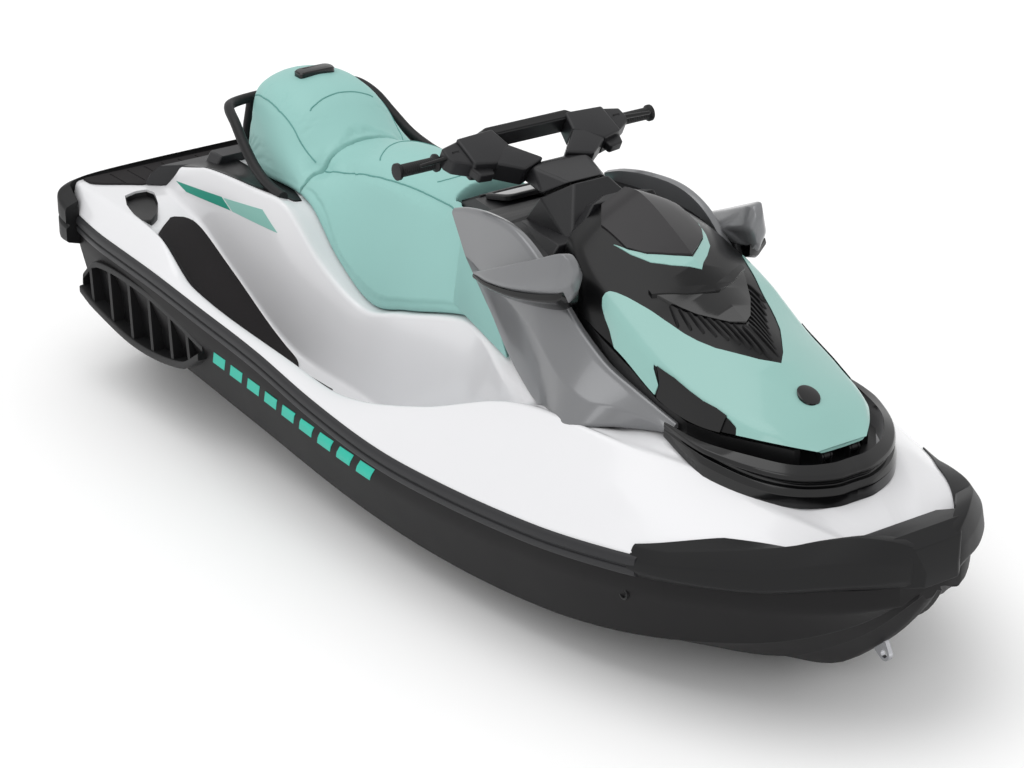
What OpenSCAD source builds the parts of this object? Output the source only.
// Personal watercraft for three riders: a moulded hull and deck, a jet pump with a steered nozzle
// and a reverse bucket, a straddle seat that lifts off, and a front hood over a storage bin.
// Millimetres, +X to the bow, +Y to port, +Z up, origin on the ground under the middle of the craft.
// The lines are drawn for the drawn length and beam below, and stretch with the two overall sizes.

/* [Overall] */
// Length over the bumpers
craft_length = 3320; // [2760:10:3990]
// Beam over the rub rails
craft_beam = 1250; // [1040:10:1500]

/* [Mouldings] */
// Wall of the hull and deck mouldings
wall = 8; // [5:0.5:12]
// Thickness of the cowls and of the hood skin
cowl_wall = 6; // [4:0.5:9]
// How far the rub rail stands out of the hull
rail_out = 13; // [8:1:20]
// Height of the rub rail
rail_height = 40; // [30:1:50]
// Thickness of the foam mats on the deck
mat = 6; // [3:1:9]

/* [Jet pump] */
// Bore of the wear ring that the impeller turns in
pump_bore = 160; // [140:2:180]
// Wall of the pump housing
pump_wall = 12; // [8:1:14]
// Gap between the impeller tips and the wear ring
tip_gap = 6; // [5:0.5:9]
// Height of the pump axis above the keel pad
pump_axis_z = 130; // [120:2:150]
// Bore of the outlet of the steering nozzle
nozzle_bore = 92; // [80:2:100]
// Steering angle of the nozzle to each side
nozzle_swing = 20; // [10:1:24]
// Angle that the reverse bucket comes down by
bucket_swing = 60; // [50:1:62]

/* [Steering] */
// Width over the handlebar grips
bar_width = 840; // [700:10:900]
// Radius of a grip
grip_r = 17; // [14:0.5:20]
// Lean of the steering axis behind the vertical
steering_lean = 35; // [25:1:45]

/* [Boarding step] */
// Width between the middles of the step's side tubes
step_width = 360; // [320:5:420]
// Length of the step from its hinge to its tread
step_length = 185; // [150:5:195]
// Radius of the step's tube
step_tube_r = 11; // [8:0.5:13]

/* [Fittings] */
// Radius of the hole in the bow eye and in the tow eye
eye_hole_r = 11; // [8:0.5:14]
// Width between the grab rails where they are widest
grab_width = 576; // [560:4:600]

/* [Hidden] */
$fn = 48;

drawn_length = 3320;
drawn_beam = 1250;
kx = craft_length / drawn_length;
ky = craft_beam / drawn_beam;
// Running gap between a moving piece and what it rests on
rest_gap = 0.5;
// Gap between a moving piece and its neighbours
clear = 6;

// ---- smooth curves through a few points ----
function span(keys, x, i = 0) = i >= len(keys) - 2 || x < keys[i + 1][0] ? i : span(keys, x, i + 1);
function chord(keys, i, j) = (keys[j][1] - keys[i][1]) / (keys[j][0] - keys[i][0]);
function slope(keys, i) = chord(keys, max(i - 1, 0), min(i + 1, len(keys) - 1));
function blend(keys, i, w, u) =
    (1 + 2 * u) * pow(1 - u, 2) * keys[i][1] + u * pow(1 - u, 2) * w * slope(keys, i)
    + u * u * (3 - 2 * u) * keys[i + 1][1] - u * u * (1 - u) * w * slope(keys, i + 1);
function at_span(keys, x, i) =
    blend(keys, i, keys[i + 1][0] - keys[i][0], (x - keys[i][0]) / (keys[i + 1][0] - keys[i][0]));
function at(keys, x) =
    let(c = min(max(x, keys[0][0]), keys[len(keys) - 1][0])) at_span(keys, c, span(keys, c));

// ---- solids from sections ----
// A solid skinned over rings of equal length, each a convex loop
module loft(rings) {
    m = len(rings[0]);
    n = len(rings);
    polyhedron(
        points = [for (r = rings) each r],
        faces = [
            [for (j = [0:m - 1]) j],
            for (i = [0:n - 2], j = [0:m - 1])
                [i * m + j, (i + 1) * m + j, (i + 1) * m + (j + 1) % m, i * m + (j + 1) % m],
            [for (j = [m - 1:-1:0]) (n - 1) * m + j]
        ],
        convexity = 6
    );
}

// A sheet with thickness: each station is [outer points, inner points]
module sheet(stations) {
    m = len(stations[0][0]);
    n = len(stations);
    w = 2 * m;
    polyhedron(
        points = [for (s = stations) each concat(s[0], s[1])],
        faces = [
            for (i = [0:n - 2], j = [0:m - 2])
                each [
                    [i * w + j, (i + 1) * w + j, (i + 1) * w + j + 1, i * w + j + 1],
                    [i * w + m + j + 1, (i + 1) * w + m + j + 1, (i + 1) * w + m + j, i * w + m + j]
                ],
            for (i = [0:n - 2])
                each [
                    [i * w + m, (i + 1) * w + m, (i + 1) * w, i * w],
                    [i * w + m - 1, (i + 1) * w + m - 1, (i + 1) * w + w - 1, i * w + w - 1]
                ],
            for (j = [0:m - 2])
                each [
                    [j, j + 1, m + j + 1, m + j],
                    [(n - 1) * w + m + j, (n - 1) * w + m + j + 1, (n - 1) * w + j + 1, (n - 1) * w + j]
                ]
        ],
        convexity = 10
    );
}

// The full section of a half section that runs from the middle out to port
function both(half) =
    concat([for (i = [len(half) - 1:-1:0]) [half[i][0], -half[i][1], half[i][2]]],
        [for (p = half) if (p[1] > 0.01) p]);
module port_and_starboard() {
    children();
    mirror([0, 1, 0]) children();
}

// ---- lines of the hull and deck, in drawn millimetres ----
rail_y = [[-1620, 540], [-1560, 560], [-1300, 592], [-600, 612], [200, 612], [800, 556], [1100, 482],
    [1350, 362], [1500, 252], [1600, 140], [1645, 60]];
joint_z = [[-1620, 457], [-1057, 452], [-702, 430], [-410, 408], [-131, 370], [180, 342], [456, 342],
    [754, 352], [1009, 368], [1156, 377], [1264, 388], [1550, 417], [1645, 430]];
chine_y = [[-1560, 515], [-1000, 546], [-600, 556], [200, 554], [800, 495], [1100, 415], [1350, 285],
    [1500, 165], [1600, 75], [1635, 30]];
chine_z = [[-1560, 205], [-920, 191], [-532, 165], [-81, 129], [229, 115], [502, 113], [745, 122],
    [962, 142], [1120, 165], [1316, 205], [1437, 245], [1540, 305], [1635, 400]];
keel_z = [[-1560, 0], [900, 0], [1150, 16], [1332, 66], [1457, 165], [1540, 250], [1600, 330],
    [1635, 385]];
pad_y = [[-1560, 150], [-560, 150], [-300, 90], [100, 60], [1000, 34], [1635, 10]];
crest_y = [[-1625, 524], [-1560, 532], [-1400, 536], [-1070, 548], [-850, 566], [-290, 564], [-60, 548],
    [250, 512], [520, 430], [800, 380], [1100, 300], [1350, 190], [1480, 100]];
crest_z = [[-1625, 570], [-1560, 571], [-1400, 575], [-1070, 572], [-850, 487], [-290, 440], [-60, 425],
    [250, 500], [520, 590], [800, 600], [1100, 560], [1350, 520], [1480, 470]];
border_z = [[-1620, 497], [-1057, 493], [-702, 470], [-410, 448], [-131, 410], [180, 382], [456, 382],
    [754, 393], [1009, 412], [1156, 420], [1420, 475], [1480, 462]];
shoulder_y = [[-1620, 330], [-1200, 330], [-800, 322], [-600, 290], [-400, 262], [100, 250], [400, 330],
    [800, 300], [1100, 230], [1350, 90], [1480, 40]];

function station(x, points) = [for (p = points) [p[0] * kx, p[1] * ky, p[2]]];

// Stations along the craft, shared by everything that follows the gunwale or stands on the deck
hull_x = [-1560, -1480, -1410, -1345, -1325, -1255, -1235, -1180, -1100, -1010, -930, -860, -802, -798,
    -730, -660, -590, -510, -430, -350, -256, -150, -50, 54, 150, 250, 350, 450, 560, 680, 800, 900,
    1000, 1100, 1200, 1290, 1370, 1440, 1500, 1550, 1590, 1625];
function between(a, b, xs) = concat([a], [for (x = xs) if (x > a + 1 && x < b - 1) x], [b]);
// A chain of convex solids, one over each pair of rings
module chain(rings) {
    for (i = [0:len(rings) - 2]) hull() loft([rings[i], rings[i + 1]]);
}
function ring(x, half) = station(x, both(half));

// ---- hull ----
tunnel_r = pump_bore / 2 + pump_wall + 40;
tunnel_front = -1160;
transom_x = -1560;
// The keel lies on the ground along most of its length
function keel(x) = max(at(keel_z, x), 0);
function hull_half(x, t, lift = 0) = [
    [x, 0, keel(x) + t],
    [x, at(pad_y, x), keel(x) + t],
    [x, at(chine_y, x) - t, at(chine_z, x) + 0.6 * t],
    [x, at(rail_y, x) - t, at(joint_z, x) - 60],
    [x, at(rail_y, x) - t, at(joint_z, x) + lift]
];
module tunnel(t) {
    translate([-1700 * kx, 0, pump_axis_z]) rotate([0, 90, 0])
        cylinder(r = tunnel_r + t, h = (1700 + tunnel_front) * kx + t);
    translate([-1700 * kx, -tunnel_r - t, -50])
        cube([(1700 + tunnel_front) * kx + t, 2 * (tunnel_r + t), pump_axis_z + 50]);
    hull() {
        translate([(tunnel_front - 5) * kx, 0, pump_axis_z]) rotate([0, 90, 0])
            cylinder(r = pump_bore / 2 + t, h = 10);
        translate([-1120 * kx - t, -76 - t, -50]) cube([400 * kx + 2 * t, 152 + 2 * t, 52]);
    }
}
module hull_shell() {
    color([0.17, 0.17, 0.18]) difference() {
        chain([for (x = hull_x) ring(x, hull_half(x, 0))]);
        difference() {
            chain([for (x = between(transom_x + wall, 1580, hull_x)) ring(x, hull_half(x, wall, 1))]);
            tunnel(wall);
        }
        tunnel(0);
        // where the pump shaft leaves the duct
        translate([(tunnel_front - 5) * kx, 0, pump_axis_z]) rotate([0, 90, 0])
            cylinder(r = 24, h = 320 * kx);
    }
}

// ---- deck ----
stern_x = -1625;
deck_x = between(stern_x, 1480, hull_x);
bin_front = 1085;
bin_rear = 480;
bin_y = 190;
deck_top = [[-1625, 572], [-1345, 575], [-1325, 660], [-1235, 668], [-1180, 674], [-1000, 692],
    [-750, 690], [-600, 567], [-430, 484], [-256, 522], [84, 612], [400, 600], [700, 600],
    [1000, 600], [1200, 575], [1350, 520],
    [1480, 470]];
side_top = [[-1625, 572], [-1410, 575], [-1325, 660], [-1180, 705], [-850, 722], [-740, 712], [-600, 575],
    [-430, 488], [-256, 524], [84, 606], [400, 560], [600, 560], [1000, 600], [1200, 572], [1350, 516],
    [1480, 468]];
foot_in_y = [[-1625, 340], [-1330, 350], [-700, 345], [-400, 320], [100, 320], [400, 350], [600, 370],
    [800, 350], [1100, 260], [1350, 120], [1480, 60]];
foot_out_y = [[-1625, 440], [-1200, 490], [-800, 500], [-300, 500], [0, 480], [250, 440], [520, 390],
    [800, 365], [1100, 280], [1350, 150], [1480, 80]];
foot_z = [[-1625, 572], [-1345, 574], [-1180, 540], [-1000, 450], [-684, 300], [-400, 262], [150, 262],
    [330, 380], [520, 560], [700, 590], [1000, 585], [1200, 560], [1350, 510], [1480, 466]];
// The deck's lines are straight aft of the pedestal and smooth ahead of it
pedestal_x = -1180;
function line(keys, x) = x < pedestal_x ? lookup(x, keys) : at(keys, x);
function deck_half(x, t) = [
    [x, 0, line(deck_top, x) - t],
    [x, 0.8 * at(shoulder_y, x), line(deck_top, x) - t],
    [x, at(shoulder_y, x), line(side_top, x) - t],
    [x, (at(shoulder_y, x) + at(foot_in_y, x)) / 2 - 0.3 * t,
        (line(side_top, x) + line(foot_z, x)) / 2 - 0.8 * t],
    [x, at(foot_in_y, x) - 0.4 * t, line(foot_z, x) - t],
    [x, at(foot_out_y, x) + 0.4 * t, line(foot_z, x) - t],
    [x, at(crest_y, x) - 0.2 * t, line(crest_z, x) - t],
    [x, (at(crest_y, x) + at(rail_y, x)) / 2 - 0.4 * t,
        (line(crest_z, x) + at(border_z, x)) / 2 + 8 - 0.8 * t],
    [x, at(rail_y, x) - t, at(border_z, x)],
    [x, at(rail_y, x) - t, at(joint_z, x) + 0.3]
];
function deck_full(x, t) = station(x, both(deck_half(x, t)));
module deck_skin() {
    sheet([for (x = deck_x) [deck_full(x, 0), deck_full(x, wall)]]);
}
// Stations that reach over a stretch of the deck or hull
function covering(a, b, xs) =
    [for (i = [0:len(xs) - 1]) if (xs[min(i + 1, len(xs) - 1)] > a && xs[max(i - 1, 0)] < b) xs[i]];
// What lies under the deck's skin, with a resting gap over it
module below_deck(a, b, depth = 70) {
    xs = covering(a, b, deck_x);
    skin_down = [0, 0, depth];
    port_and_starboard() for (i = [0:len(xs) - 2]) {
        p = deck_half(xs[i], 0);
        q = deck_half(xs[i + 1], 0);
        for (j = [0:len(p) - 3]) hull() loft([
            station(0, [p[j] + gap_up, p[j + 1] + gap_up, p[j + 1] - skin_down, p[j] - skin_down]),
            station(0, [q[j] + gap_up, q[j + 1] + gap_up, q[j + 1] - skin_down, q[j] - skin_down])
        ]);
    }
}
gap_up = [0, 0, 0.3];
// The hull's outer shape, grown by the resting gap
module hull_core(a, b) {
    chain([for (x = covering(a, b, hull_x)) ring(x, hull_half(x, -0.3, 1))]);
}
module deck() {
    // drawn in one piece, then the openings are cut
    color([0.94, 0.94, 0.95]) resize([(1480 - stern_x) * kx, 0, 0]) difference() {
        deck_skin();
        // the mouth of the storage bin
        translate([bin_rear * kx, -bin_y * ky, 400])
            cube([(bin_front - bin_rear) * kx, 2 * bin_y * ky, 400]);
    }
}

// ---- rub rail, bumpers ----
function rail_ring(x) =
    let(z = at(joint_z, x) + 0.3, y = at(rail_y, x))
    [[x, y, z - rail_height / 2], [x, y + rail_out * 0.7, z - rail_height / 2 + 4],
        [x, y + rail_out, z], [x, y + rail_out * 0.8, z + rail_height / 2 + 10],
        [x, y, z + rail_height / 2 + 16]];
module rub_rail() {
    color([0.08, 0.08, 0.09]) port_and_starboard()
        chain([for (x = between(-1540, 1118, hull_x)) station(x, rail_ring(x))]);
}
// Bow bumper: its foot follows the hull, its top edge stands over the deck
bump_low = [[1110, 380], [1264, 366], [1420, 388], [1550, 417], [1640, 428]];
bump_top = [[1110, 418], [1264, 462], [1420, 509], [1550, 553], [1610, 545], [1640, 520]];
bump_out = [[1110, 12], [1264, 30], [1420, 44], [1550, 40], [1600, 36], [1640, 20]];
function bump_ring(x) =
    let(y = at(rail_y, x), o = at(bump_out, x), zl = at(bump_low, x), zt = at(bump_top, x))
    [[x, y, zl], [x, y + o, zl + 20], [x, y + 0.7 * o, (zl + zt) / 2 + 10],
        [x, max(y - 20, 0), zt], [x, max(y - 60, 0), zt - 6], [x, max(y - 60, 0), zt - 30]];
module bow_bumper() {
    color([0.13, 0.13, 0.14]) difference() {
        union() {
            port_and_starboard() chain([for (x = between(1118, 1640, hull_x)) station(x, bump_ring(x))]);
            hull() loft([
                station(0, [[1480, -150, 500], [1480, 150, 500], [1480, 150, 440], [1480, -150, 440]]),
                station(0, [[1660, -60, 470], [1660, 60, 470], [1660, 60, 420], [1660, -60, 420]])
            ]);
        }
        hull_core(1100, 1625);
        below_deck(1100, 1480, 200);
    }
}
// Stern bumper, from the middle round the corner: [inner x, y, outer x, y, lowest z, highest z]
stern_path = [[-1625.3, 0, -1655, 0, 506, 592], [-1625.3, 300, -1655, 300, 500, 590],
    [-1625.3, 480, -1652, 500, 452, 584], [-1625.3, 541, -1645, 572, 412, 570],
    [-1600, 553, -1606, 600, 396, 556], [-1541, 564, -1541, 610, 400, 540]];
module stern_bumper() {
    color([0.12, 0.12, 0.13]) port_and_starboard() chain([for (k = stern_path) [
        [k[0] * kx, k[1] * ky, k[4]], [k[2] * kx, k[3] * ky, k[4] + 14],
        [k[2] * kx, k[3] * ky, k[5] - 14], [k[0] * kx, k[1] * ky, k[5]]
    ]]);
}

// ---- sponsons: an open frame of a keel rail, a top rail and ribs ----
spon_low = [[-1460, 290], [-1380, 262], [-1118, 222], [-846, 252], [-740, 315]];
spon_top = [[-1460, 330], [-1380, 392], [-1100, 400], [-900, 372], [-740, 335]];
function hull_side_y(x, z) =
    let(y0 = at(chine_y, x), y1 = at(rail_y, x), z0 = at(chine_z, x), z1 = at(joint_z, x) - 60)
    y0 + (y1 - y0) * min(max((z - z0) / (z1 - z0), 0), 1);
// How far the keel rail and the top rail of a sponson stand from the middle of the craft
spon_keel_y = 621;
spon_top_y = 604;
spon_end_y = 610;
spon_ribs = [-1400, -1280, -1160, -1040, -920, -820];
module spon_bar(p0, p1, to_y, w) {
    hull() for (p = [p0, p1])
        translate([p[0] * kx, (hull_side_y(p[0], p[1]) - 2) * ky, p[1]]) rotate([-90, 0, 0])
            cylinder(d = w, h = (to_y - hull_side_y(p[0], p[1])) * ky, $fn = 8);
}
module sponson() {
    color([0.06, 0.06, 0.07]) difference() {
        union() {
            for (i = [0:len(spon_low) - 2]) {
                spon_bar(spon_low[i], spon_low[i + 1], spon_keel_y, 20);
                spon_bar(spon_top[i], spon_top[i + 1], spon_top_y, 18);
            }
            for (x = spon_ribs)
                let(top = at(spon_top, x - 14), low = at(spon_low, x + 20))
                hull() {
                    spon_bar([x - 14, top], [x - 14, top + 1], spon_top_y, 14);
                    spon_bar([x + 20, low], [x + 20, low + 1], spon_keel_y - 5, 14);
                }
            // the two ends of the frame
            spon_bar(spon_low[0], spon_top[0], spon_end_y, 18);
            spon_bar(spon_low[4], spon_top[4], spon_end_y, 18);
            // the web behind the ribs
            hull() {
                spon_bar([-1440, 310], [-1100, 310], 575, 90);
                spon_bar([-1100, 310], [-780, 310], 585, 60);
            }
        }
        // the hull side that it is screwed to
        hull_core(-1480, -720);
    }
}

// ---- footwell mats ----
module footwell_mat() {
    color([0.13, 0.13, 0.14]) chain([for (x = between(-1235, -430, hull_x))
        let(k = (x + 1235) / 805, y0 = at(foot_in_y, x) + 12, y1 = at(foot_out_y, x) - 14 - 90 * pow(k, 3),
            z = line(foot_z, x) + rest_gap)
        station(x, [[x, y0, z], [x, y1, z], [x, y1 - 2, z + mat], [x, y0 + 2, z + mat]])]);
}
mat_y = [[-1615, 505], [-1560, 496], [-1480, 400], [-1410, 325], [-1350, 270]];
module rear_deck_mat() {
    color([0.16, 0.16, 0.17]) chain([for (x = between(-1615, -1465, hull_x))
        let(z = line(deck_top, x) + rest_gap, y = at(mat_y, x))
        station(x, [[x, -y, z], [x, y, z], [x, y - 4, z + mat], [x, 4 - y, z + mat]])]);
}
// Moulding over the back of the seat pedestal
// Its two steps: [x, half-width at the foot, top]
fairing_low = [[-1462, 380, 604], [-1440, 350, 634], [-1346, 262, 648]];
fairing_high = [[-1345, 240, 648], [-1325, 240, 692], [-1258, 240, 692]];
module rear_fairing() {
    color([0.20, 0.20, 0.21]) difference() {
        for (steps = [fairing_low, fairing_high])
            chain([for (k = steps) station(0, [[k[0], -k[1], 560], [k[0], k[1], 560],
                [k[0], k[1] - 20, k[2]], [k[0], 20 - k[1], k[2]]])]);
        below_deck(-1462, -1258, 200);
    }
}

// ---- cowls around the steering and the hood ----
cowl_top = [[60, 925], [250, 930], [430, 905], [600, 830], [760, 745], [900, 665], [990, 610]];
cowl_low = [[60, 615], [180, 640], [300, 575], [420, 520], [560, 505], [700, 560], [850, 590], [990, 600]];
cowl_in = [[60, 255], [250, 285], [430, 300], [600, 300], [760, 280], [900, 262], [990, 250]];
cowl_out = [[60, 262], [250, 300], [420, 345], [560, 350], [700, 335], [850, 305], [990, 262]];
module side_cowl() {
    color([0.36, 0.36, 0.38]) difference() {
        chain([for (x = cowl_x) station(x, cowl_ring(x, cowl_wall))]);
        below_deck(cowl_x[0], cowl_x[len(cowl_x) - 1]);
    }
}
cowl_x = [60, 150, 250, 340, 430, 520, 600, 680, 760, 840, 920, 990];
function cowl_ring(x, t) =
    let(zt = at(cowl_top, x), zl = at(cowl_low, x), yi = at(cowl_in, x), yo = at(cowl_out, x))
    [[x, yi - t, zt], [x, yi, zt], [x, (yi + yo) / 2 + 12, (zt + zl) / 2], [x, yo, zl], [x, yo - t, zl]];
hood_z = [[430, 1042], [497, 1045], [600, 1005], [753, 922], [814, 885], [1065, 775], [1213, 704],
    [1297, 642]];
rim_z = [[430, 872], [600, 800], [760, 755], [908, 684], [1040, 660], [1178, 664], [1250, 656], [1297, 645]];
rim_y = [[430, 200], [500, 228], [600, 252], [760, 258], [908, 250], [1040, 232], [1178, 184], [1250, 130],
    [1297, 78]];
function hood_half(x, t) = [
    [x, 0, at(hood_z, x) - t],
    [x, 0.5 * at(rim_y, x), at(hood_z, x) - 0.25 * (at(hood_z, x) - at(rim_z, x)) - t],
    [x, 0.9 * at(rim_y, x) - 0.5 * t, at(hood_z, x) - 0.55 * (at(hood_z, x) - at(rim_z, x)) - t],
    [x, at(rim_y, x) - t, at(rim_z, x)]
];
hood_x = [430, 497, 560, 620, 690, 735, 765, 814, 880, 950, 1010, 1065, 1120, 1178, 1220, 1260, 1297];
module hood_shell(x0, x1, t0, t1) {
    difference() {
        chain([for (x = between(x0, x1, hood_x)) ring(x, concat(hood_half(x, t0), [[x, 0, at(rim_z, x)]]))]);
        chain([for (x = between(x0 - 1, x1 + 1, hood_x))
            ring(x, concat(hood_half(x, t1), [[x, 0, at(rim_z, x) - 1]]))]);
    }
}

// ---- black base round the hood, with the steering console behind it ----
module front_cowl() {
    color([0.10, 0.10, 0.11]) port_and_starboard() difference() {
        chain([for (x = [450, 560, 680, 800, 900, 1000, 1100, 1200, 1260])
            let(y = at(rim_y, x), zt = at(rim_z, x) - 9)
            station(x, [[x, y - 22, 530], [x, y - 2, 530], [x, y - 2, zt], [x, y - 20, zt]])]);
        below_deck(450, 1260, 200);
    }
}
// The lip in front of the hood, from the middle outwards: [x, y, lowest z, highest z]
lip = [[1326, 0, 548, 620], [1322, 60, 548, 620], [1286, 142, 556, 624], [1208, 210, 572, 637],
    [1079, 258, 600, 640], [960, 276, 612, 652]];
module front_grille() {
    color([0.05, 0.05, 0.06]) port_and_starboard() difference() {
        chain([for (k = lip)
            let(d = norm([k[0] - 900, 1.6 * k[1]]), nx = (k[0] - 900) / d, ny = 1.6 * k[1] / d)
            [[k[0] * kx, k[1] * ky, k[2] - 30], [(k[0] + 44 * nx) * kx, (k[1] + 44 * ny) * ky, k[2] - 30],
                [(k[0] + 44 * nx) * kx, (k[1] + 44 * ny) * ky, k[2]],
                [(k[0] + 38 * nx) * kx, (k[1] + 38 * ny) * ky, (k[2] + k[3]) / 2],
                [k[0] * kx, k[1] * ky, k[3]]]]);
        below_deck(900, 1480, 200);
    }
}
// The steering's pivot, and the column that stands in it
pivot_x = 300;
pivot_z = 905;
column_r = 16;
tower_h = 58;
module at_steering() {
    translate([pivot_x * kx, 0, pivot_z]) rotate([0, -steering_lean, 0]) children();
}
console_z = [[60, 900], [150, 915], [230, 905], [300, 905], [424, 900]];
// The pod that carries the gauge and the glove box, between the two sides of the seat
pod_rear = -170;
pod_front = 70;
pod_z = 890;
pod_floor = 735;
lid_x = -72;
lid_lean = 25;
lid_l = 92;
lid_y = 100;
lid_wall = 8;
pod_y = lid_y + 18;
hinge_rod = 2;
// Where the pod's shape turns: [x, half-width, top]
pod_frames = [[pod_rear, pod_y - 8, pod_z - 46], [lid_x + 4, pod_y, pod_z],
    [pod_front, pod_y + 30, pod_z + 8]];
module pod_shape(g, over) {
    hull() for (k = pod_frames)
        translate([k[0] * kx - g, -k[1] * ky - g, pod_floor - 45 - g])
            cube([4 + 2 * g, 2 * (k[1] * ky + g), k[2] - pod_floor + 45 + g + over]);
}
module at_lid() {
    translate([lid_x * kx, 0, pod_z - 4]) rotate([0, -lid_lean, 0]) children();
}
module console() {
    color([0.11, 0.11, 0.12]) difference() {
        union() {
            chain([for (x = [62, 110, 150, 190, 230, 265, 300, 360, 424])
                let(zt = at(console_z, x), y = at(cowl_in, x) - cowl_wall - 6)
                ring(x, [[x, 0, zt], [x, y - 60, zt - 4], [x, y, at(cowl_top, x) - 20], [x, y, 640],
                    [x, 0, 640]])]);
            pod_shape(0, 0);
            at_steering() hull() {
                translate([0, 0, -60]) cylinder(r = 78, h = 20);
                cylinder(r = 44, h = tower_h);
            }
        }
        // the glove box and the seat of its lid
        hull() {
            translate([(pod_rear + 14) * kx, -80 * ky, pod_floor]) cube([90 * kx, 160 * ky, 20]);
            at_lid() translate([-lid_l + 8, -lid_y * ky + 8, -14])
                cube([lid_l - 12, 2 * lid_y * ky - 16, 40]);
        }
        at_lid() translate([-lid_l - 60, -lid_y * ky - 0.3, -0.3])
            cube([lid_l + 66, 2 * lid_y * ky + 0.6, 60]);
        at_steering() translate([0, 0, -60]) cylinder(r = column_r + 0.3, h = tower_h + 70);
        below_deck(pod_rear, 424);
    }
    // rod that the glove box lid turns on
    color([0.11, 0.11, 0.12]) at_lid() for (s = [-1, 1])
        translate([0, s * (lid_y * ky + 0.3), lid_wall / 2 + 0.5]) rotate([90 * s, 0, 0])
            cylinder(r = hinge_rod, h = 12);
}
module glove_lid() {
    color([0.13, 0.13, 0.14]) at_lid() difference() {
        union() {
            translate([-lid_l, -lid_y * ky, 0]) cube([lid_l - 5.5, 2 * lid_y * ky, lid_wall]);
            translate([-8, -lid_y * ky, 0]) cube([8, 2 * lid_y * ky, 3]);
            translate([0, 0, lid_wall / 2 + 0.5]) rotate([90, 0, 0])
                cylinder(r = 4.5, h = 2 * lid_y * ky, center = true);
        }
        translate([0, 0, lid_wall / 2 + 0.5]) rotate([90, 0, 0])
            cylinder(r = hinge_rod + 0.1, h = 3 * lid_y * ky, center = true);
    }
}
module gauge() {
    color([0.05, 0.05, 0.06]) translate([-52 * kx, -105 * ky, pod_z + 1.5]) rotate([0, -10, 0])
        cube([92 * kx, 210 * ky, 14]);
}
bin_gap = 0.3;
module storage_bin() {
    color([0.10, 0.10, 0.11]) difference() {
        hull() {
            translate([bin_rear * kx + bin_gap, bin_gap - bin_y * ky, 580])
                cube([(bin_front - bin_rear) * kx - 2 * bin_gap, 2 * (bin_y * ky - bin_gap), 20]);
            translate([(bin_rear + 60) * kx, -(bin_y - 50) * ky, 330])
                cube([(bin_front - bin_rear - 160) * kx, 2 * (bin_y - 50) * ky, 20]);
        }
        hull() {
            translate([(bin_rear + 8) * kx, -(bin_y - 8) * ky, 590])
                cube([(bin_front - bin_rear - 16) * kx, 2 * (bin_y - 8) * ky, 20]);
            translate([(bin_rear + 66) * kx, -(bin_y - 56) * ky, 336])
                cube([(bin_front - bin_rear - 172) * kx, 2 * (bin_y - 56) * ky, 20]);
        }
    }
}
// ---- mirrors ----
// A mirror pod: [x, inner y, outer y, lowest z, highest z]
mirror_pod = [[282, 350, 360, 838, 850], [340, 318, 374, 826, 890], [430, 288, 366, 824, 938],
    [520, 270, 352, 832, 972], [580, 266, 336, 842, 978], [618, 272, 316, 862, 962]];
module mirror_body() {
    color([0.42, 0.42, 0.44]) difference() {
        chain([for (k = mirror_pod)
            let(x = k[0], ya = k[1], yb = k[2], za = k[3], zb = k[4])
            station(x, [[x, ya, 0.4 * za + 0.6 * zb], [x, 0.7 * ya + 0.3 * yb, zb],
                [x, 0.25 * ya + 0.75 * yb, zb - 6], [x, yb, 0.6 * za + 0.4 * zb],
                [x, 0.3 * ya + 0.7 * yb, za], [x, 0.8 * ya + 0.2 * yb, za + 4]])]);
        // the cowl that it stands on
        chain([for (x = cowl_x) if (x > 100 && x < 800) let(c = cowl_ring(x, 0))
            station(x, [[x, 200, c[1][2] + 0.4], c[1] + [0, 0.4, 0.4], c[2] + [0, 0.4, 0], c[3] + [0, 0.4, 0],
                [x, 200, c[3][2]]])]);
    }
}
// ---- inside and under ----
module engine() {
    color([0.30, 0.30, 0.32]) {
        translate([-700 * kx, -150 * ky, 60]) cube([560 * kx, 300 * ky, 330]);
        // mounts on the keel
        for (s = [-1, 1]) translate([-680 * kx, s * 55 * ky - 15, wall + 0.3])
            cube([500 * kx, 30, 60 - wall]);
    }
}
// Where the pump's duct ends and narrows, and where the nozzle and the bucket turn
duct_rear = -1440;
nozzle_x = -1530;
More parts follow.
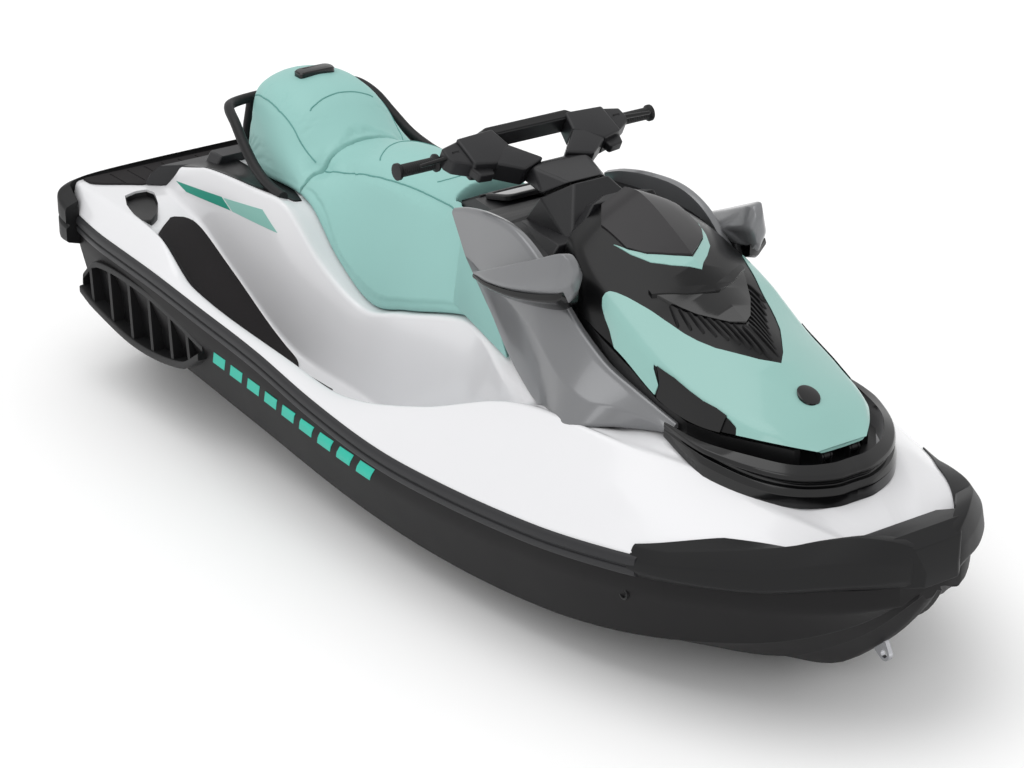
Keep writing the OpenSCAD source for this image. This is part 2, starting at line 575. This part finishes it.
// Outlet of the pump, which the nozzle turns round, and the ears that carry the reverse bucket
outlet_r = nozzle_bore / 2 + 4;
shell_r = outlet_r + 20;
plate = 8;
ear_y = shell_r * cos(nozzle_swing) + 24 * sin(nozzle_swing) + clear + 6;
module pump_housing() {
    r = pump_bore / 2;
    color([0.55, 0.56, 0.58]) difference() {
        union() {
            translate([tunnel_front * kx - 12 - rest_gap, 0, pump_axis_z]) rotate([0, 90, 0])
                cylinder(r = min(tunnel_r - 4, pump_axis_z - plate - rest_gap), h = 12);
            translate([duct_rear * kx, 0, pump_axis_z]) rotate([0, 90, 0])
                cylinder(r = r + pump_wall, h = (tunnel_front - duct_rear) * kx - 12);
            translate([-1492 * kx, 0, pump_axis_z]) rotate([0, 90, 0])
                cylinder(r1 = outlet_r, r2 = r + pump_wall, h = 54 * kx);
            translate([-1548 * kx, 0, pump_axis_z]) rotate([0, 90, 0]) cylinder(r = outlet_r, h = 58 * kx);
            for (s = [-1, 1]) {
                // bosses that the nozzle turns in
                translate([nozzle_x * kx, 0, pump_axis_z]) rotate([s > 0 ? 0 : 180, 0, 0])
                    translate([0, 0, outlet_r - 4]) cylinder(r = 13, h = 15);
                // brackets that carry the reverse bucket
                hull() {
                    translate([nozzle_x * kx, s * ear_y - 4, pump_axis_z]) rotate([-90, 0, 0])
                        cylinder(r = 15, h = 8);
                    translate([-1430 * kx, s * ear_y - 4, pump_axis_z - 20]) cube([10, 8, 40]);
                }
            }
        }
        translate([-1400 * kx, 0, pump_axis_z]) rotate([0, 90, 0]) cylinder(r = r, h = 400 * kx);
        translate([-1500 * kx, 0, pump_axis_z]) rotate([0, 90, 0])
            cylinder(r1 = outlet_r - 10, r2 = r, h = 100.1 * kx);
        translate([-1600 * kx, 0, pump_axis_z]) rotate([0, 90, 0]) cylinder(r = outlet_r - 10, h = 101 * kx);
        for (s = [-1, 1]) {
            translate([nozzle_x * kx, 0, pump_axis_z + s * 60 - 26]) cylinder(r = 8.3, h = 52);
            translate([nozzle_x * kx, s * ear_y - 10, pump_axis_z]) rotate([-90, 0, 0])
                cylinder(r = 7.3, h = 20);
        }
    }
    // stator: vanes round the bearing hub
    color([0.55, 0.56, 0.58]) difference() {
        union() {
            translate([-1395 * kx, 0, pump_axis_z]) rotate([0, 90, 0]) cylinder(r = 34, h = 60);
            for (a = [0:60:300]) translate([-1390 * kx, 0, pump_axis_z]) rotate([a, 0, 0])
                translate([0, -4, 20]) cube([48, 8, r - 19]);
        }
        translate([-1380 * kx, 0, pump_axis_z]) rotate([0, 90, 0]) cylinder(r = 12.3, h = 60);
    }
}
module ride_plate() {
    color([0.45, 0.46, 0.48]) {
        translate([transom_x * kx, -tunnel_r + rest_gap, 0])
            cube([(tunnel_front - transom_x) * kx - rest_gap, 2 * (tunnel_r - rest_gap), plate]);
        for (s = [-1, 1]) translate([-1550 * kx, s * (tunnel_r - 16) - 4, 7])
            cube([360 * kx, 8, 16]);
    }
}
module intake_grate() {
    color([0.50, 0.51, 0.53]) {
        for (s = [-1, 0, 1]) translate([-1119 * kx, s * 44 - 5, 1]) cube([378 * kx, 10, 8]);
        for (x = [-1119, -753]) translate([x * kx, -76 + rest_gap, 1]) cube([12, 152 - 2 * rest_gap, 8]);
    }
}
// Towing eyes: a lug with a hole across it, on a foot that lies on the moulding
eye_reach = 26;
module eye() {
    difference() {
        hull() {
            translate([eye_reach, 0, 0]) rotate([90, 0, 0])
                cylinder(r = eye_hole_r + 8, h = 12, center = true);
            translate([0.3, -6, -eye_hole_r - 14]) cube([6, 12, 2 * eye_hole_r + 28]);
        }
        translate([eye_reach, 0, 0]) rotate([90, 0, 0]) cylinder(r = eye_hole_r, h = 40, center = true);
    }
}
// The bow eye stands square on the stem, between two stations of the hull
stem_low = [1440 * kx, at(keel_z, 1440)];
stem_high = [1500 * kx, at(keel_z, 1500)];
stem_lean = atan2((stem_high - stem_low)[0], (stem_high - stem_low)[1]);
module bow_eye() {
    color([0.75, 0.76, 0.78]) translate([(stem_low + stem_high)[0] / 2, 0, (stem_low + stem_high)[1] / 2])
        rotate([0, stem_lean, 0]) eye();
}
tow_z = 272;
module tow_eye() {
    color([0.75, 0.76, 0.78]) translate([transom_x * kx, 0, tow_z]) rotate([0, 180, 0]) eye();
}
// ---- grab rails ----
// Middle line of a grab rail, from behind the seat down to the shoulder of the deck
rail_path = [[-1272, 120, 870], [-1248, 186, 884], [-1205, 212, 886], [-1120, 240, 862], [-1020, 262, 812],
    [-920, 276, 768], [-840, 284, 738], [-780, 288, 724]];
rail_r = 13;
module grab_rail() {
    color([0.07, 0.07, 0.08]) difference() {
        union() {
            for (i = [0:len(rail_path) - 2]) hull() for (k = [0, 1]) rail_ball(rail_path[i + k]);
            hull() {
                rail_ball(rail_path[0]);
                translate([-1290 * kx, 150 * ky, 650]) cylinder(r = 16, h = 8, $fn = 10);
            }
        }
        below_deck(-1300, -780);
        translate([-1400 * kx, -300 * ky, 600]) cube([150 * kx, 600 * ky, 92.3]);
    }
}
module rail_ball(p) {
    translate([p[0] * kx, p[1] * ky * grab_width / 576, p[2]]) sphere(r = rail_r, $fn = 10);
}
// ---- seat ----
seat_z = [[-1255, 880], [-1235, 925], [-1180, 962], [-1100, 976], [-1010, 968], [-930, 940], [-860, 885],
    [-800, 846], [-730, 852], [-600, 882], [-460, 894], [-300, 900], [-60, 915], [54, 905]];
seat_y = [[-1255, 95], [-1235, 125], [-1180, 150], [-1050, 166], [-900, 168], [-800, 152], [-600, 146],
    [-400, 140], [-200, 142], [54, 160]];
seat_foot_y = [[-1255, 130], [-1235, 150], [-1180, 180], [-1100, 204], [-1000, 222], [-800, 238], [-400, 240],
    [54, 240]];
function seat_half(x) =
    let(z0 = at(deck_top, x) + rest_gap, z1 = at(seat_z, x), y0 = at(seat_foot_y, x), y1 = at(seat_y, x))
    [[x, 0, z0], [x, y0 - 12, z0], [x, y0, z0 + 14], [x, 0.45 * y0 + 0.55 * y1, 0.55 * z0 + 0.45 * z1],
        [x, y1, z1 - 75], [x, 0.85 * y1, z1 - 32], [x, 0.5 * y1, z1 - 7], [x, 0, z1]];
module seat_part(a, b) {
    difference() {
        chain([for (x = hull_x) if (x >= a && x <= b) ring(x, seat_half(x))]);
        below_deck(a, b);
        pod_shape(0.5, 200);
    }
}
module seat_front() {
    color([0.60, 0.80, 0.77]) seat_part(-798, 60);
}
module seat_rear() {
    color([0.62, 0.83, 0.79]) seat_part(-1220, -802);
}
// ---- hood ----
hood_split = 735;
hinge_x = 1285;
hinge_z = 622;
hinge_y = 44;
hinge_r = 6;
knuckle_r = 11;
module vent_outline(grow) {
    offset(delta = grow) polygon([[742 * kx, -140 * ky], [742 * kx, 140 * ky], [880 * kx, 128 * ky],
        [1062 * kx, 16 * ky], [1062 * kx, -16 * ky], [880 * kx, -128 * ky]]);
}
module hood() {
    color([0.15, 0.15, 0.16]) hood_shell(430, hood_split, 0, cowl_wall);
}
module hood_panel() {
    color([0.62, 0.83, 0.79]) difference() {
        hood_shell(hood_split, 1297, 0, cowl_wall);
        translate([0, 0, 740]) linear_extrude(height = 300) vent_outline(0);
    }
}
module hood_vent() {
    color([0.10, 0.10, 0.11]) intersection() {
        hood_shell(hood_split + 3, 1120, 4, cowl_wall + 5);
        translate([0, 0, 740]) linear_extrude(height = 300) vent_outline(-0.3);
    }
}
// Hinge of the hood: knuckles under the panel turn on a pin between lugs on the lip
module hood_hinge() {
    lug_h = hinge_z - at(deck_top, hinge_x + 6) - 6;
    color([0.5, 0.5, 0.52]) for (s = [-1, 1]) translate([hinge_x * kx, s * hinge_y * ky, hinge_z]) {
        rotate([90, 0, 0]) cylinder(r = hinge_r, h = 34, center = true);
        for (e = [-1, 1]) translate([0, e * 14, 0]) {
            rotate([90, 0, 0]) cylinder(r = knuckle_r, h = 5, center = true);
            translate([-9, -2.5, -lug_h]) cube([18, 5, lug_h]);
        }
    }
}
module hood_knuckles() {
    arm_h = at(hood_z, hinge_x - 40) - cowl_wall - 14 - hinge_z;
    color([0.5, 0.5, 0.52]) for (s = [-1, 1])
        translate([hinge_x * kx, s * hinge_y * ky, hinge_z]) difference() {
            union() {
                rotate([90, 0, 0]) cylinder(r = knuckle_r, h = 18, center = true);
                translate([-40 * kx, -9, 2]) cube([40 * kx, 18, 9]);
                translate([-40 * kx, -9, 2]) cube([10, 18, arm_h]);
            }
            rotate([90, 0, 0]) cylinder(r = hinge_r + 0.06, h = 60, center = true);
        }
}
// ---- handlebar, in the frame of the steering axis ----
bar_y = bar_width / 2;
grip_l = 128;
// Height of the grips' middle line and how far aft it lies
bar_z = 287;
bar_x = -159;
// A beam between two points of a side, each given as [x, y, z, width along x, height]
module bar_beam(s, p, q, w) {
    hull() for (k = [p, q])
        translate([k[0] - k[3] / 2, s * k[1] - w / 2, k[2] - k[4] / 2]) cube([k[3], w, k[4]]);
}
clamp_y = bar_y - grip_l - 24;
module handlebar() {
    color([0.14, 0.14, 0.15]) at_steering() {
        translate([0, 0, -52]) cylinder(r = column_r, h = 52 + tower_h + 30);
        // hub and the two arms of the frame
        hull() {
            translate([-46, -42, tower_h + clear]) cube([84, 84, 12]);
            translate([-74, -52, 142]) cube([74, 104, 16]);
        }
        for (s = [-1, 1]) {
            bar_beam(s, [-40, 34, 150, 72, 22], [-112, 118, 262, 66, 30], 36);
            bar_beam(s, [-126, 112, 276, 96, 56], [-150, clamp_y - 10, 284, 54, 44], 40);
            translate([bar_x, s * (clamp_y - 8), bar_z]) rotate([-90 * s, 0, 0])
                cylinder(r = 11, h = grip_l + 26);
        }
        // the upper beam
        hull() {
            translate([-178, -122, 288]) cube([74, 244, 24]);
            translate([-172, -84, 312]) cube([52, 168, 30]);
        }
    }
}
module grips() {
    color([0.06, 0.06, 0.07]) for (s = [-1, 1]) at_steering()
        translate([bar_x, s * (bar_y - grip_l), bar_z]) rotate([-90 * s, 0, 0]) difference() {
            union() {
                cylinder(r = grip_r, h = grip_l);
                cylinder(r = grip_r + 7, h = 6);
                translate([0, 0, grip_l - 8]) cylinder(r = grip_r + 6, h = 8);
            }
            translate([0, 0, -1]) cylinder(r = 11.3, h = grip_l - 5);
        }
}
module levers() {
    color([0.08, 0.08, 0.09]) at_steering() for (s = [-1, 1]) {
        translate([-115, s * (clamp_y - 4) - 10, 272]) cube([18, 20, 20]);
        hull() {
            translate([-106, s * (clamp_y - 4), 282]) sphere(r = 7, $fn = 10);
            translate([-104, s * (bar_y - 46), 276]) sphere(r = 5, $fn = 10);
        }
    }
}
// ---- turning and swinging pieces at the stern ----
module impeller() {
    r = pump_bore / 2 - tip_gap;
    color([0.72, 0.73, 0.75]) translate([-1325 * kx, 0, pump_axis_z]) rotate([0, 90, 0]) {
        cylinder(r1 = 34, r2 = 24, h = 100);
        translate([0, 0, -45]) cylinder(r = 12, h = 46);
        translate([0, 0, 99]) cylinder(r = 14, h = 500 * kx);
        intersection() {
            cylinder(r = r, h = 100);
            for (a = [0:120:240]) rotate([0, 0, a]) linear_extrude(height = 96, twist = 80, slices = 6)
                translate([20, -4]) square([r, 8]);
        }
    }
}
nozzle_l = 84;
module nozzle() {
    color([0.20, 0.20, 0.22]) translate([nozzle_x * kx, 0, pump_axis_z]) {
        difference() {
            union() {
                translate([-nozzle_l, 0, 0]) rotate([0, 90, 0])
                    cylinder(r1 = nozzle_bore / 2 + 7, r2 = shell_r, h = nozzle_l - 22);
                translate([-22.1, 0, 0]) rotate([0, 90, 0]) cylinder(r = shell_r, h = 40.1);
            }
            translate([-nozzle_l - 10, 0, 0]) rotate([0, 90, 0]) cylinder(r = nozzle_bore / 2, h = 200);
            translate([-62, 0, 0]) rotate([0, 90, 0])
                cylinder(r1 = nozzle_bore / 2, r2 = shell_r - 6, h = 40);
            translate([-22.1, 0, 0]) rotate([0, 90, 0]) cylinder(r = shell_r - 6, h = 100);
        }
        // pins that it turns on
        for (s = [0, 180]) rotate([s, 0, 0]) translate([0, 0, outlet_r - 6]) cylinder(r = 8, h = 24);
    }
}
bucket_r = norm([nozzle_l, nozzle_bore / 2 + 7]) + clear;
bucket_wall = 8;
// The bucket's lower edge just clears the outlet when it is up; its upper edge stands high enough to
// cover the upper part of the outlet when it is down
bucket_low = asin((nozzle_bore / 2 + 7) / bucket_r) - 4;
bucket_high = bucket_swing + 10;
cheek_y = ear_y + 8;
module reverse_bucket() {
    color([0.16, 0.16, 0.17]) translate([nozzle_x * kx, 0, pump_axis_z]) {
        for (s = [-1, 1]) {
            translate([0, s * (ear_y + 4) - 10, 0]) rotate([-90, 0, 0]) cylinder(r = 7, h = 20);
            hull() {
                translate([0, s * (cheek_y + 4) - 4, 0]) rotate([-90, 0, 0]) cylinder(r = 13, h = 8);
                for (a = [bucket_low + 5, bucket_low + 20])
                    translate([-bucket_r * cos(a), s * (cheek_y + 4) - 4, bucket_r * sin(a)])
                        rotate([-90, 0, 0]) cylinder(r = 6, h = 8);
            }
        }
        difference() {
            rotate([90, 0, 0]) cylinder(r = bucket_r + bucket_wall, h = 2 * cheek_y + 16, center = true);
            rotate([90, 0, 0]) cylinder(r = bucket_r, h = 2 * cheek_y + 60, center = true);
            rotate([0, bucket_low, 0]) translate([-300, -200, -400]) cube([600, 400, 400]);
            rotate([0, bucket_high, 0]) translate([-300, -200, 0]) cube([600, 400, 400]);
            translate([0, -200, -300]) cube([300, 400, 600]);
        }
    }
}
// Boarding step: a hoop folded up against the transom, hinged at its two lower ends
step_x = -1592;
step_z = 300;
module boarding_step() {
    y = step_width / 2;
    color([0.10, 0.10, 0.11]) {
        for (s = [-1, 1]) translate([step_x * kx, s * y, step_z]) {
            cylinder(r = step_tube_r, h = step_length);
            rotate([90, 0, 0]) cylinder(r = step_tube_r + 3, h = 2 * step_tube_r, center = true);
            rotate([90, 0, 0]) cylinder(r = 6, h = 2 * step_tube_r + 28, center = true);
        }
        translate([step_x * kx, 0, step_z + step_length]) rotate([90, 0, 0])
            cylinder(r = step_tube_r, h = 2 * y, center = true);
        for (s = [-1, 1]) translate([step_x * kx, s * y, step_z + step_length]) sphere(r = step_tube_r);
    }
}
module step_brackets() {
    color([0.45, 0.46, 0.48]) for (s = [-1, 1], e = [-1, 1])
        translate([step_x * kx, s * step_width / 2 + e * (step_tube_r + 9), step_z]) difference() {
            union() {
                rotate([90, 0, 0]) cylinder(r = 13, h = 8, center = true);
                translate([0, -4, -13]) cube([(transom_x - step_x) * kx - 0.3, 8, 26]);
            }
            rotate([90, 0, 0]) cylinder(r = 6.05, h = 40, center = true);
        }
}

hull_shell();  // hull
deck();
rub_rail();
bow_bumper();
stern_bumper();
sponson();  // sponson_left
mirror([0, 1, 0]) sponson();  // sponson_right
footwell_mat();  // footwell_mat_left
mirror([0, 1, 0]) footwell_mat();  // footwell_mat_right
rear_deck_mat();
rear_fairing();
side_cowl();  // side_cowl_left
mirror([0, 1, 0]) side_cowl();  // side_cowl_right
front_cowl();
front_grille();
console();
gauge();
storage_bin();
mirror_body();  // mirror_left
mirror([0, 1, 0]) mirror_body();  // mirror_right
engine();
pump_housing();
ride_plate();
intake_grate();
bow_eye();
tow_eye();
grab_rail();  // grab_rail_left
mirror([0, 1, 0]) grab_rail();  // grab_rail_right
seat_front();
seat_rear();
hood();
hood_panel();
hood_vent();
hood_hinge();
hood_knuckles();
glove_lid();
handlebar();
grips();
levers();
impeller();
nozzle();
reverse_bucket();
boarding_step();
step_brackets();
